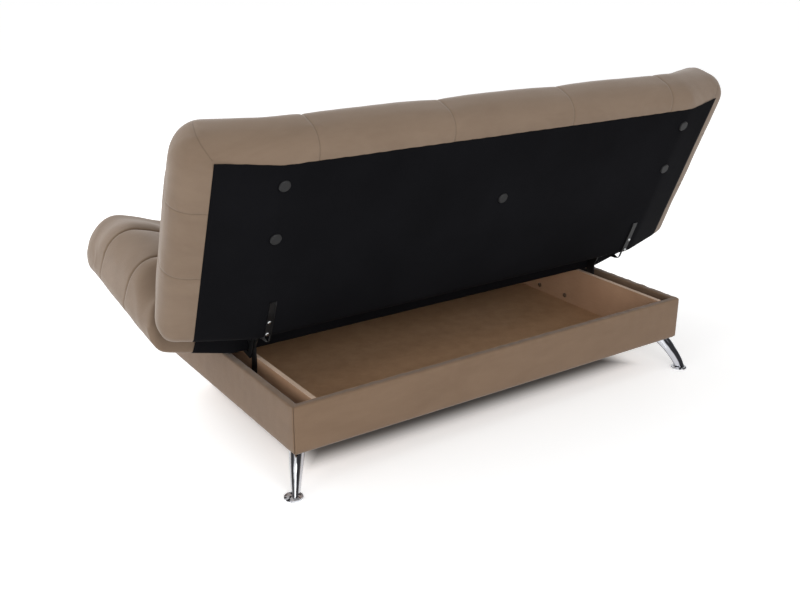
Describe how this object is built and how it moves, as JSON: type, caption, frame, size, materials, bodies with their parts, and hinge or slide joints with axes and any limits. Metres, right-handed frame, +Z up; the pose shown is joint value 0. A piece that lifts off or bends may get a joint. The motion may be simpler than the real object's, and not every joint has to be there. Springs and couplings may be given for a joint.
{
  "type": "storage sofa bed",
  "caption": "Storage sofa bed with winged seat and back on a click-clack hinge; the seat lifts off a storage box.",
  "frame": {"origin": "on the floor under the middle of the overall box", "axes": "+X along the sofa, -Y towards the sitting side, +Z up"},
  "size_m": [2.0888, 1.1495, 1.0884],
  "materials": {
    "upholstery": "short-nap taupe microfibre",
    "dust_cloth": "thin near-black non-woven cloth",
    "frame_wood": "sawn softwood",
    "pale_board": "pale raw board",
    "floor_board": "brown hardboard",
    "chrome": "polished",
    "hinge_steel": "black satin paint",
    "zinc": "zinc plated",
    "cap_plastic": "dark grey moulded plastic"
  },
  "bodies": {
    "box": {"rear_rail": "upholstery", "front_rail": "upholstery", "side_rail_left": "upholstery", "partition_left": "pale_board", "floor_batten_left": "frame_wood", "leg_rear_left": "chrome", "foot_rear_left": "chrome", "corner_block_rear_left": "frame_wood", "leg_front_left": "chrome", "foot_front_left": "chrome", "leg_block_front_left": "frame_wood", "hinge_arm_left": "hinge_steel", "hinge_pivot_left": "zinc", "arm_bolt_front_left": "zinc", "arm_bolt_rear_left": "zinc", "side_rail_right": "upholstery", "partition_right": "pale_board", "floor_batten_right": "frame_wood", "leg_rear_right": "chrome", "foot_rear_right": "chrome", "corner_block_rear_right": "frame_wood", "leg_front_right": "chrome", "foot_front_right": "chrome", "leg_block_front_right": "frame_wood", "hinge_arm_right": "hinge_steel", "hinge_pivot_right": "zinc", "arm_bolt_front_right": "zinc", "arm_bolt_rear_right": "zinc", "floor_panel": "floor_board"},
    "seat": {"seat_hinge_rail": "frame_wood", "seat_outer_rail": "frame_wood", "seat_deck": "frame_wood", "seat_side_rail_left": "frame_wood", "seat_wing_board_left": "frame_wood", "seat_side_rail_right": "frame_wood", "seat_wing_board_right": "frame_wood", "seat_dust_cover": "dust_cloth", "seat_cushion": "upholstery", "seat_hinge_plate_left": "hinge_steel", "seat_pawl_left": "hinge_steel", "seat_hinge_plate_right": "hinge_steel", "seat_pawl_right": "hinge_steel"},
    "back": {"back_hinge_rail": "frame_wood", "back_outer_rail": "frame_wood", "back_deck": "frame_wood", "back_side_rail_left": "frame_wood", "back_wing_board_left": "frame_wood", "back_side_rail_right": "frame_wood", "back_wing_board_right": "frame_wood", "back_dust_cover": "dust_cloth", "back_cushion": "upholstery", "back_ratchet_plate_left": "hinge_steel", "back_cap_low_left": "cap_plastic", "back_cap_high_left": "cap_plastic", "back_ratchet_plate_right": "hinge_steel", "back_cap_low_right": "cap_plastic", "back_cap_high_right": "cap_plastic", "back_cap_middle": "cap_plastic"}
  },
  "joints": [
    {"name": "seat_lift", "type": "hinge", "parent": "box", "child": "seat", "pos_m": [0, 0.1662, 0.377], "axis": [-1, 0, 0], "range_deg": [-9.3, 24]},
    {"name": "back_recline", "type": "hinge", "parent": "box", "child": "back", "pos_m": [0, 0.1662, 0.377], "axis": [-1, 0, 0], "range_deg": [0, 68.25]}
  ]
}
